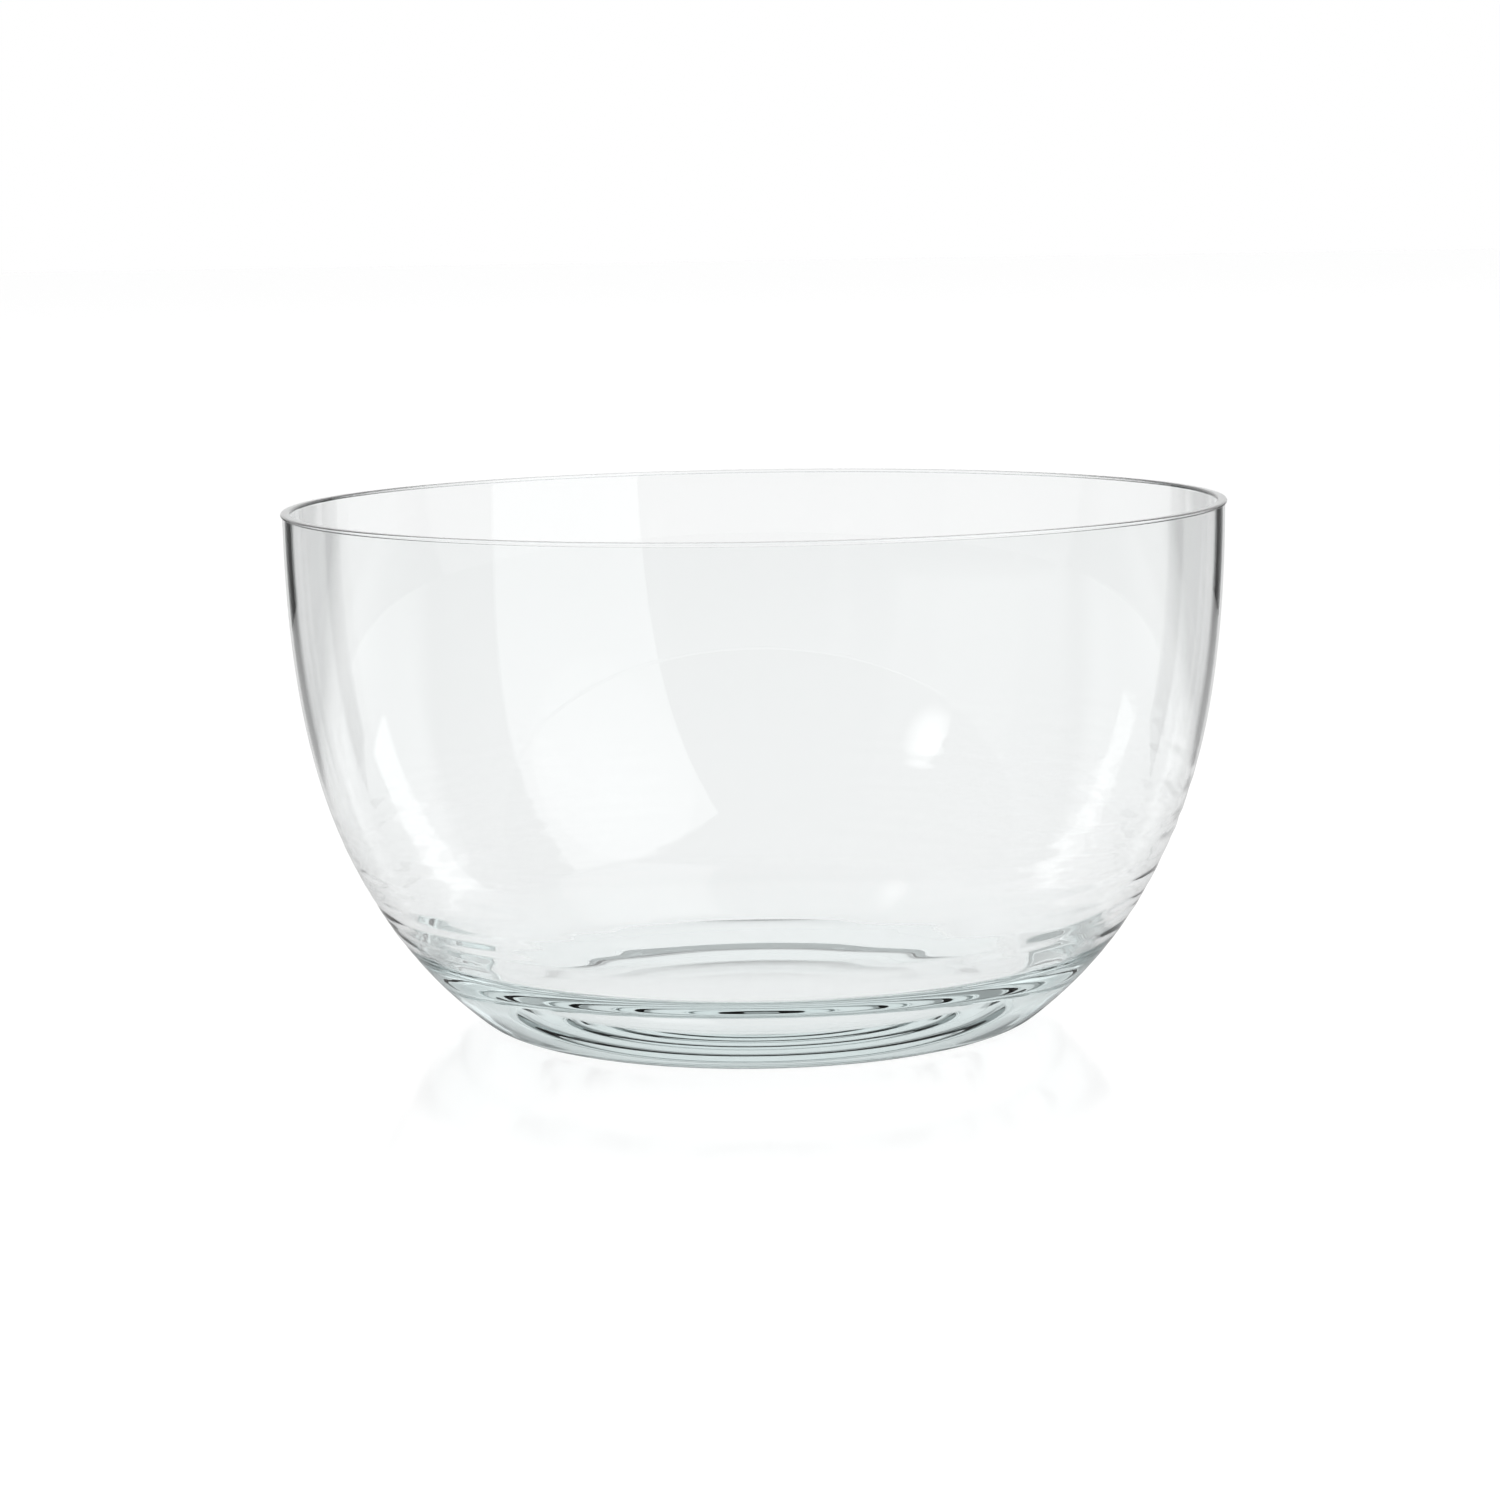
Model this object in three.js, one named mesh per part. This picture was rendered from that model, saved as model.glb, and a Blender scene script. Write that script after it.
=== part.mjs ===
// A clear glass salad bowl: one piece of glass, pressed thick in the base and drawn thin up the wall,
// with a fire-polished rim that has run out into a small lip, level on top.
// Millimetres, +Z up. The origin is the middle of the foot, on the table.

import * as THREE from 'three';

// Driving dimensions
const rimDiameter = 240;
const height = 132;
const footDiameter = 142;
const wallThickness = 1.9;
const floorHeight = 9;

// The lip stands proud of the outside and is flush with the inside
const lipProud = 0.5;

// The foot: a flat ring to stand on, a slightly hollow underside within it and a rounded edge at the heel
const footRingWidth = 4;
const hollowDepth = 0.6;
const hollowSlope = 45;
const heelRounding = 3;

// The outside leaves the foot at the heel angle and comes up to the rim plumb
const heelAngle = THREE.MathUtils.degToRad(39);
const heelReach = 52;
const wallReach = 53;

// The inside follows the outside down to the knee, where the glass thickens, and then runs out level
// to the middle of the floor. The knee is a share of the way up the outside's curve.
const kneeShare = 0.2;
const kneeReach = 10;
const floorReach = 58;

// How finely the round shapes are cut
const turnSteps = 64;
const longCurveSteps = 16;
const shortCurveSteps = 4;

const rimRadius = rimDiameter / 2;
const footRadius = footDiameter / 2;
const hollowRadius = footRadius - heelRounding - footRingWidth;

const at = (radius, z) => new THREE.Vector2(radius, z);

const wallTop = at(rimRadius - lipProud, height - 2 * lipProud);

// A point on the heel's slope, at a distance from the foot's edge.
const onHeel = (distance) => at(footRadius + distance * Math.cos(heelAngle), distance * Math.sin(heelAngle));

const hollowEdge = new THREE.QuadraticBezierCurve(
  at(hollowRadius - hollowSlope, hollowDepth),
  at(hollowRadius - hollowSlope / 2, hollowDepth),
  at(hollowRadius, 0),
);

const heelEdge = new THREE.QuadraticBezierCurve(
  at(footRadius - heelRounding, 0),
  at(footRadius, 0),
  onHeel(heelRounding),
);

const outside = new THREE.CubicBezierCurve(
  onHeel(heelRounding),
  onHeel(heelReach),
  at(wallTop.x, wallTop.y - wallReach),
  wallTop,
);

// A round edge of the lip, about a point level with its outermost reach.
const lipEdge = (radius, from, to) => new THREE.EllipseCurve(
  radius, height - lipProud, lipProud, lipProud, from * Math.PI, to * Math.PI,
);
const lipOutside = lipEdge(wallTop.x, -1 / 2, 1 / 2);
const lipInside = lipEdge(wallTop.x - wallThickness + lipProud, 1 / 2, 1);

// The point of the inside that faces the outside's point at a share of its curve.
function insideWall(share) {
  const inward = outside.getTangent(share).rotateAround(at(0, 0), Math.PI / 2);
  return outside.getPoint(share).addScaledVector(inward, wallThickness);
}

function insideWallPoints() {
  const step = (1 - kneeShare) / longCurveSteps;
  return Array.from({ length: longCurveSteps }, (_, i) => insideWall(1 - (i + 1) * step));
}

const knee = insideWall(kneeShare);
const floor = new THREE.CubicBezierCurve(
  knee,
  knee.clone().addScaledVector(outside.getTangent(kneeShare), -kneeReach),
  at(floorReach, floorHeight),
  at(0, floorHeight),
);

// The half section, from the middle of the underside round the rim to the middle of the floor.
const section = [
  at(0, hollowDepth),
  ...hollowEdge.getPoints(shortCurveSteps),
  ...heelEdge.getPoints(shortCurveSteps),
  ...outside.getPoints(longCurveSteps).slice(1),
  ...lipOutside.getPoints(2 * shortCurveSteps).slice(1),
  ...lipInside.getPoints(shortCurveSteps),
  ...insideWallPoints(),
  ...floor.getPoints(longCurveSteps).slice(1),
];

// Clear glass, with the faint cool tint that shows where it is thick
const clearGlass = new THREE.MeshStandardMaterial({
  name: 'clear_glass',
  color: 0xe4eeee,
  roughness: 0.03,
  metalness: 0,
});

const bowl = new THREE.Mesh(new THREE.LatheGeometry(section, turnSteps).rotateX(Math.PI / 2), clearGlass);
bowl.name = 'bowl';

const glassBowl = new THREE.Group();
glassBowl.name = 'glass_bowl';
glassBowl.add(bowl);

export default glassBowl;
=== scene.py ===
import math

import bpy
from mathutils import Matrix, Vector, noise


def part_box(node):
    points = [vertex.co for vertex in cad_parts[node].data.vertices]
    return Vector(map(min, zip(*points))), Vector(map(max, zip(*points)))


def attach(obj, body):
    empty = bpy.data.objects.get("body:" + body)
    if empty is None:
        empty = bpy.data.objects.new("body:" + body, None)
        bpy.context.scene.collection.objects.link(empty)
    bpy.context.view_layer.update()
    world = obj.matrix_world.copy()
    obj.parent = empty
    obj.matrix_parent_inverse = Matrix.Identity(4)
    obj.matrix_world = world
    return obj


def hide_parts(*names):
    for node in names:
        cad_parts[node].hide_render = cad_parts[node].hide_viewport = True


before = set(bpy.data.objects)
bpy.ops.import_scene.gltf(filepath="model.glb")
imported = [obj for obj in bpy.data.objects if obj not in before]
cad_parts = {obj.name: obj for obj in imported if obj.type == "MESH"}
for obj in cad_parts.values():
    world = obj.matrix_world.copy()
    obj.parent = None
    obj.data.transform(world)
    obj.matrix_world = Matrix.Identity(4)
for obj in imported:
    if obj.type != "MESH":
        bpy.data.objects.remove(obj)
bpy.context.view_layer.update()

# Camera
# A short telephoto stands nearly a metre off, a little higher than the rim, and looks down into the bowl.
# It is tipped a degree to one side, so the rim runs a little uphill to the right.
mm = 0.001
camera_distance = 903.5 * mm
camera_height = 201.6 * mm
camera_lens_mm = 84.9
camera_sensor_mm = 36
camera_reach = 50
camera_pitch = math.radians(8.43)
camera_turn = math.radians(0.12)
camera_roll = math.radians(-0.92)

scene = bpy.context.scene
camera = bpy.data.objects.new("camera", bpy.data.cameras.new("camera"))
camera.data.lens = camera_lens_mm
camera.data.sensor_width = camera_sensor_mm
camera.data.clip_end = camera_reach
camera.matrix_world = (
    Matrix.Translation((0, -camera_distance, camera_height))
    @ Matrix.Rotation(camera_turn, 4, "Z")
    @ Matrix.Rotation(math.pi / 2 - camera_pitch, 4, "X")
    @ Matrix.Rotation(camera_roll, 4, "Z")
)
scene.collection.objects.link(camera)
scene.camera = camera

# Bowl
# One piece of soda-lime glass. It is pressed thick in the base and thin up the wall, and the rim is
# fire polished, so that it has run out into a small lip, level on top. It stands on a flat ring.
bowl_low, bowl_high = (Vector(painted_dark_corners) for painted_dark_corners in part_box("bowl"))
rim_radius = (bowl_high.x - bowl_low.x) / 2
bowl_height = bowl_high.z - bowl_low.z
foot_radius = 71 * mm
wall_thickness = 1.9 * mm
floor_height = 9 * mm
lip_proud = 0.5 * mm

# The foot: a flat ring, a slightly hollow underside within it and a rounded edge at the heel.
foot_ring_width = 4 * mm
hollow_depth = 0.6 * mm
hollow_slope = 45 * mm
heel_rounding = 3 * mm

# The outside leaves the foot at the heel angle and comes up to the rim plumb.
heel_angle = math.radians(39)
heel_reach = 52 * mm
wall_reach = 53 * mm

# The inside follows the outside down to the knee, where the glass thickens, and then runs out level to
# the middle of the floor. The knee is a share of the way up the outside's curve.
knee_share = 0.20
knee_reach = 10 * mm
floor_reach = 58 * mm

# How finely the shapes are cut. A row close under the lip keeps the wall's shading straight up to it.
bowl_turn_steps = 192
lip_steps = 8
hollow_steps = 8
heel_steps = 6
outside_steps = 220
wall_steps = 60
floor_steps = 48
under_lip_share = 0.998
crease_angle = math.radians(30)

# The waves low on the wall: the heights between which they run, and the size of one wave.
ripple_bottom = 6 * mm
ripple_top = 70 * mm
ripple_tilt = 8 * mm
ripple_width = 30 * mm
ripple_pitch = 2.6 * mm
ripple_depth = 0.55 * mm

wall_top = Vector((rim_radius - lip_proud, bowl_height - 2 * lip_proud))


def curve_point(ends, share):
    """The point of a Bezier curve of any degree, at a share of its way."""
    points = list(ends)
    while len(points) > 1:
        points = [a.lerp(b, share) for a, b in zip(points, points[1:])]
    return points[0]


def curve_points(ends, steps):
    return [curve_point(ends, i / steps) for i in range(steps + 1)]


def on_heel(distance):
    """A point on the heel's slope, at a distance from the foot's edge."""
    return Vector((foot_radius + distance * math.cos(heel_angle), distance * math.sin(heel_angle)))


hollow_radius = foot_radius - heel_rounding - foot_ring_width
hollow_edge = [
    Vector((hollow_radius - hollow_slope, hollow_depth)),
    Vector((hollow_radius - hollow_slope / 2, hollow_depth)),
    Vector((hollow_radius, 0)),
]
heel_edge = [Vector((foot_radius - heel_rounding, 0)), Vector((foot_radius, 0)), on_heel(heel_rounding)]
outside = [
    on_heel(heel_rounding),
    on_heel(heel_reach),
    wall_top - Vector((0, wall_reach)),
    wall_top,
]


def outside_direction(share):
    step = 1e-3
    behind, ahead = max(share - step, 0), min(share + step, 1)
    return (curve_point(outside, ahead) - curve_point(outside, behind)).normalized()


def inside_wall(share):
    """The point of the inside that faces the outside's point at a share of its curve."""
    along = outside_direction(share)
    return curve_point(outside, share) + wall_thickness * Vector((-along.y, along.x))


def arc_points(middle, radius, start, end, steps):
    angles = [math.radians(start + (end - start) * i / steps) for i in range(steps + 1)]
    return [middle + radius * Vector((math.cos(a), math.sin(a))) for a in angles]


lip_outside = Vector((rim_radius - lip_proud, bowl_height - lip_proud))
lip_inside = lip_outside - Vector((wall_thickness - lip_proud, 0))
knee = inside_wall(knee_share)
inside_floor = [
    knee,
    knee - knee_reach * outside_direction(knee_share),
    Vector((floor_reach, floor_height)),
    Vector((0, floor_height)),
]

# The half section, from the middle of the underside round the rim to the middle of the floor.
foot_section = (
    [Vector((0, hollow_depth)), Vector(((hollow_radius - hollow_slope) / 2, hollow_depth))]
    + curve_points(hollow_edge, hollow_steps)
    + curve_points(heel_edge, heel_steps)
)
outside_rows = range(len(foot_section), len(foot_section) + outside_steps)
bowl_section = (
    foot_section
    + curve_points(outside, outside_steps)[1:]
    + arc_points(lip_outside, lip_proud, -90, 90, 2 * lip_steps)[1:]
    + arc_points(lip_inside, lip_proud, 90, 180, lip_steps)
    + [inside_wall(under_lip_share)]
    + [inside_wall(1 - (1 - knee_share) * (i + 1) / wall_steps) for i in range(wall_steps)]
    + curve_points(inside_floor, floor_steps)[1:]
)


def ripple(point, angle):
    """How far in the outside waves, low on the wall, where the hot glass chilled against the mould.

    The waves run level, are strongest at the two sides and reach a little higher at the right.
    """
    top = ripple_top + ripple_tilt * math.cos(angle)
    way_up = (point.y - ripple_bottom) / (top - ripple_bottom)
    if not 0 < way_up < 1:
        return 0
    around = Vector((math.cos(angle), math.sin(angle), 0)) * point.x / ripple_width
    wave = noise.noise(around + Vector((0, 0, point.y / ripple_pitch)))
    return ripple_depth * math.cos(angle) ** 2 * math.sin(math.pi * way_up) ** 2 * (wave - 1) / 2


def spin(section, outer_rows, steps):
    """A closed mesh: a half section that starts and ends on the axis, turned, its outer rows rippled."""
    rings = section[1:-1]
    count = len(rings)
    bottom, top, first_ring = 0, 1, 2
    corners = [(0, 0, section[0].y), (0, 0, section[-1].y)]
    for i in range(steps):
        angle = 2 * math.pi * i / steps
        for row, point in enumerate(rings, 1):
            radius = point.x + (ripple(point, angle) if row in outer_rows else 0)
            corners.append((radius * math.cos(angle), radius * math.sin(angle), point.y))
    faces = []
    for i in range(steps):
        here = first_ring + i * count
        there = first_ring + (i + 1) % steps * count
        faces.append((bottom, there, here))
        faces.append((top, here + count - 1, there + count - 1))
        faces += [(here + k, there + k, there + k + 1, here + k + 1) for k in range(count - 1)]
    mesh = bpy.data.meshes.new("bowl")
    mesh.from_pydata(corners, [], faces)
    mesh.shade_smooth()
    mesh.set_sharp_from_angle(angle=crease_angle)
    return mesh


bowl = bpy.data.objects.new("glass_bowl", spin(bowl_section, outside_rows, bowl_turn_steps))
scene.collection.objects.link(bowl)


def linear(hex_colour):
    """An sRGB hex colour as the linear colour that a shader takes."""
    channels = [int(hex_colour[i : i + 2], 16) / 255 for i in (1, 3, 5)]
    return [c / 12.92 if c <= 0.04045 else ((c + 0.055) / 1.055) ** 2.4 for c in channels] + [1]


def add_node(tree, kind, settings=(), inputs=()):
    """Adds a node, sets its properties, and gives each named input a value or a link from a socket."""
    node = tree.nodes.new(kind)
    for name, value in dict(settings).items():
        setattr(node, name, value)
    for name, value in dict(inputs).items():
        if isinstance(value, bpy.types.NodeSocket):
            tree.links.new(value, node.inputs[name])
        else:
            node.inputs[name].default_value = value
    return node


def new_material(name):
    """A material with an empty node tree."""
    material = bpy.data.materials.new(name)
    material.use_nodes = True
    material.node_tree.nodes.clear()
    return material


# Pressed soda-lime glass, fire polished: a breath of grey through the thin wall, and a cool aqua where the
# light comes a long way through the base.
glass = new_material("pressed_soda_lime_glass")
tree = glass.node_tree
body = add_node(tree, "ShaderNodeBsdfPrincipled", inputs={
    "Base Color": linear("#FDFEFE"),
    "Roughness": 0.0,
    "IOR": 1.52,
    "Transmission Weight": 1.0,
})
tint = add_node(tree, "ShaderNodeVolumeAbsorption", inputs={"Color": linear("#A2CFCF"), "Density": 2.3})
add_node(tree, "ShaderNodeOutputMaterial", inputs={
    "Surface": body.outputs["BSDF"],
    "Volume": tint.outputs["Volume"],
})
bowl.data.materials.append(glass)
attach(bowl, "root")
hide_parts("bowl")

# Table
# A sheet of opal white acrylic with a gloss face, lit through from below. It shows white to the eye, keeps
# a little of the bowl's shadow, and mirrors the bowl softly. Through the glass and in the glass's faces its
# glow is painted dimmer, with painted shade in two corners behind the bowl and in front of it.
table_size = 40.0
table_gap = 0.05 * mm
bpy.ops.mesh.primitive_plane_add(size=table_size, location=(0, 0, bowl_low.z - table_gap))
table = bpy.context.object
table.name = "table"

# The glow, and the shares of it that show through the glass and mirrored in its faces. Both shares are
# below the whole glow, a painted shade that keeps the glass greyer than the table.
table_glow = 0.905
through_share = 0.9
mirrored_share = 0.34

# Where these shares come and go, in metres from the middle of the bowl: the painted shade in front of the
# bowl in the mirror, and the painted dark corners through the glass.
mirrored_from, mirrored_to = -0.05, 0.2
strip_spread = 0.13
strip_from, strip_to = 0.13, 0.18
corner_from, corner_to = 0.2, 0.35

# Opal acrylic, cast with a gloss face: an even white that glows from within, under a soft mirror. The
# mirror is fainter than the bare gloss of the sheet, most of all at a low angle.
sheen_ior = 1.22
sheen_limit = 0.4
sheen_roughness = 0.12
acrylic = new_material("opal_gloss_acrylic")
tree = acrylic.node_tree

# Painted shade in the reflections: the outer faces of the glass mirror the glow only from behind the bowl,
# and the table in front of it, white to the eye, shows dark in them.
place = add_node(tree, "ShaderNodeTexCoord")
axes = add_node(tree, "ShaderNodeSeparateXYZ", inputs={"Vector": place.outputs["Object"]})
mirror_share_painted_front_shade = add_node(tree, "ShaderNodeMapRange", {"interpolation_type": "SMOOTHSTEP"}, {
    "Value": axes.outputs["Y"],
    "From Min": mirrored_from,
    "From Max": mirrored_to,
    "To Min": 0.0,
    "To Max": mirrored_share,
})

# Painted shade: through the glass the table is white, but for two painted dark corners behind the bowl,
# beside a strip that widens away from it. They show only through the glass and turn its edges dark.
aside = add_node(tree, "ShaderNodeMath", {"operation": "ABSOLUTE"}, {0: axes.outputs["X"]})
widening = add_node(tree, "ShaderNodeMath", {"operation": "MULTIPLY_ADD"}, {
    0: axes.outputs["Y"],
    1: -strip_spread,
    2: aside.outputs[0],
})
outer = add_node(tree, "ShaderNodeMapRange", {"interpolation_type": "SMOOTHSTEP"}, {
    "Value": widening.outputs[0],
    "From Min": strip_from,
    "From Max": strip_to,
    "To Min": 0.0,
    "To Max": 1.0,
})
behind = add_node(tree, "ShaderNodeMapRange", {"interpolation_type": "SMOOTHSTEP"}, {
    "Value": axes.outputs["Y"],
    "From Min": corner_from,
    "From Max": corner_to,
    "To Min": 0.0,
    "To Max": 1.0,
})
painted_dark_corners = add_node(tree, "ShaderNodeMath", {"operation": "MULTIPLY"}, {
    0: outer.outputs["Result"],
    1: behind.outputs["Result"],
})
through_share_painted_corners = add_node(tree, "ShaderNodeMath", {"operation": "MULTIPLY_ADD"}, {
    0: painted_dark_corners.outputs[0],
    1: -through_share,
    2: through_share,
})

# The eye, the view through the glass and the mirror in its faces each get their own share of the glow.
ray = add_node(tree, "ShaderNodeLightPath")
mirrored = add_node(tree, "ShaderNodeMath", {"operation": "MULTIPLY"}, {
    0: ray.outputs["Is Glossy Ray"],
    1: mirror_share_painted_front_shade.outputs["Result"],
})
through = add_node(tree, "ShaderNodeMath", {"operation": "MULTIPLY"}, {
    0: ray.outputs["Is Transmission Ray"],
    1: through_share_painted_corners.outputs[0],
})
direct = add_node(tree, "ShaderNodeMath", {"operation": "MAXIMUM"}, {
    0: ray.outputs["Is Camera Ray"],
    1: through.outputs[0],
})
seen = add_node(tree, "ShaderNodeMath", {"operation": "MAXIMUM"}, {
    0: direct.outputs[0],
    1: mirrored.outputs[0],
})
glow = add_node(tree, "ShaderNodeMath", {"operation": "MULTIPLY"}, {0: seen.outputs[0], 1: table_glow})
lit = add_node(tree, "ShaderNodeEmission", inputs={"Color": linear("#FFFFFF"), "Strength": glow.outputs[0]})
matte = add_node(tree, "ShaderNodeBsdfDiffuse", inputs={"Color": linear("#A8A8A8")})
sheet = add_node(tree, "ShaderNodeAddShader", inputs={0: matte.outputs[0], 1: lit.outputs[0]})
gloss = add_node(tree, "ShaderNodeBsdfGlossy", inputs={
    "Color": linear("#FFFFFF"),
    "Roughness": sheen_roughness,
})
fresnel = add_node(tree, "ShaderNodeFresnel", inputs={"IOR": sheen_ior})
mirror = add_node(tree, "ShaderNodeMath", {"operation": "MINIMUM"}, {0: fresnel.outputs[0], 1: sheen_limit})
surface = add_node(tree, "ShaderNodeMixShader", inputs={
    0: mirror.outputs[0],
    1: sheet.outputs[0],
    2: gloss.outputs[0],
})
add_node(tree, "ShaderNodeOutputMaterial", inputs={"Surface": surface.outputs[0]})
table.data.materials.append(acrylic)

# Cards
# Two sheets of grey card stand on the table behind the bowl, just out of view at the left and at the
# right. The glass shows them along its edges.
card_inner = 0.38
card_width = 0.2
card_height = 0.13
card_back = 0.75

# Grey card stock, uncoated: an even matte grey without a shine.
card_stock = new_material("grey_card_stock")
pulp = add_node(card_stock.node_tree, "ShaderNodeBsdfDiffuse", inputs={"Color": linear("#808080")})
add_node(card_stock.node_tree, "ShaderNodeOutputMaterial", inputs={"Surface": pulp.outputs[0]})
for name, side in (("left_card", -1), ("right_card", 1)):
    bpy.ops.mesh.primitive_plane_add(
        size=1,
        location=(side * (card_inner + card_width / 2), card_back, bowl_low.z + card_height / 2),
        rotation=(math.pi / 2, 0, 0),
    )
    card = bpy.context.object
    card.name = name
    card.scale = (card_width, card_height, 1)
    card.visible_camera = False
    card.data.materials.append(card_stock)

# Studio
# A white backdrop fills the room behind the table, and the room overhead and in front is dim. A window
# and soft boxes stand at the right and at the left of the camera, and a strip light in each far corner.
room_glow = 0.2
front_glow = 0.45
ceiling_glow = 0.38
front_low, front_high = 0.5, 0.8
backdrop_lean = 0.6
backdrop_edge = 0.25
world = bpy.data.worlds.new("studio")
world.use_nodes = True
scene.world = world
tree = world.node_tree
tree.nodes.clear()
where = add_node(tree, "ShaderNodeTexCoord")
axes = add_node(tree, "ShaderNodeSeparateXYZ", inputs={"Vector": where.outputs["Generated"]})
backward = add_node(tree, "ShaderNodeMath", {"operation": "MULTIPLY_ADD"}, {
    0: axes.outputs["Z"],
    1: -backdrop_lean,
    2: axes.outputs["Y"],
})
backdrop = add_node(tree, "ShaderNodeMapRange", {"interpolation_type": "SMOOTHSTEP"}, {
    "Value": backward.outputs[0],
    "From Min": 0.0,
    "From Max": backdrop_edge,
    "To Min": room_glow,
    "To Max": 1.0,
})

# The eye sees white all round. Through the glass the dim room is paler than it is mirrored in the glass,
# and a little paler low down than overhead.
sight = add_node(tree, "ShaderNodeLightPath")
dim_room = add_node(tree, "ShaderNodeMapRange", {"interpolation_type": "SMOOTHSTEP"}, {
    "Value": axes.outputs["Z"],
    "From Min": front_low,
    "From Max": front_high,
    "To Min": front_glow,
    "To Max": ceiling_glow,
})
clear = add_node(tree, "ShaderNodeMath", {"operation": "MULTIPLY_ADD"}, {
    0: sight.outputs["Is Transmission Ray"],
    1: dim_room.outputs["Result"],
    2: sight.outputs["Is Camera Ray"],
})
strength = add_node(tree, "ShaderNodeMath", {"operation": "MAXIMUM"}, {
    0: clear.outputs[0],
    1: backdrop.outputs["Result"],
})
sky = add_node(tree, "ShaderNodeBackground", inputs={
    "Color": linear("#FFFFFF"),
    "Strength": strength.outputs[0],
})
add_node(tree, "ShaderNodeOutputWorld", inputs={"Surface": sky.outputs[0]})

# A lamp with nothing to narrow its beam
full_spread = 180


def soft_box(name, turn, rise, distance, width, height, power, spread=full_spread):
    """A soft box that faces the bowl, turned to the right of the camera's side and raised, by degrees.

    One with a narrowed beam has a round face.
    """
    lamp = bpy.data.lights.new(name, "AREA")
    lamp.shape = "RECTANGLE" if spread == full_spread else "ELLIPSE"
    lamp.spread = math.radians(spread)
    lamp.size = width
    lamp.size_y = height
    lamp.energy = power
    out = Vector((
        math.sin(math.radians(turn)) * math.cos(math.radians(rise)),
        -math.cos(math.radians(turn)) * math.cos(math.radians(rise)),
        math.sin(math.radians(rise)),
    ))
    holder = bpy.data.objects.new(name, lamp)
    holder.location = out * distance
    holder.visible_camera = False
    holder.rotation_euler = (-out).to_track_quat("-Z", "Y").to_euler()
    scene.collection.objects.link(holder)


soft_box("right_window", turn=54, rise=30, distance=1.1, width=1.0, height=1.2, power=3.1)
soft_box("right_box", turn=52, rise=38, distance=1.1, width=0.9, height=0.9, power=0.12, spread=70)
soft_box("left_box", turn=-54, rise=26, distance=1.2, width=0.3, height=0.42, power=0.006, spread=16)
soft_box("right_strip", turn=133, rise=25, distance=1.2, width=0.24, height=0.7, power=0.5)
soft_box("left_strip", turn=-128, rise=25, distance=1.2, width=0.18, height=0.7, power=0.32)

# Light runs from face to face inside the glass many times before it leaves it.
glass_bounces = 32
scene.cycles.max_bounces = glass_bounces
scene.cycles.glossy_bounces = glass_bounces
scene.cycles.transmission_bounces = glass_bounces

scene.view_settings.view_transform = "Standard"
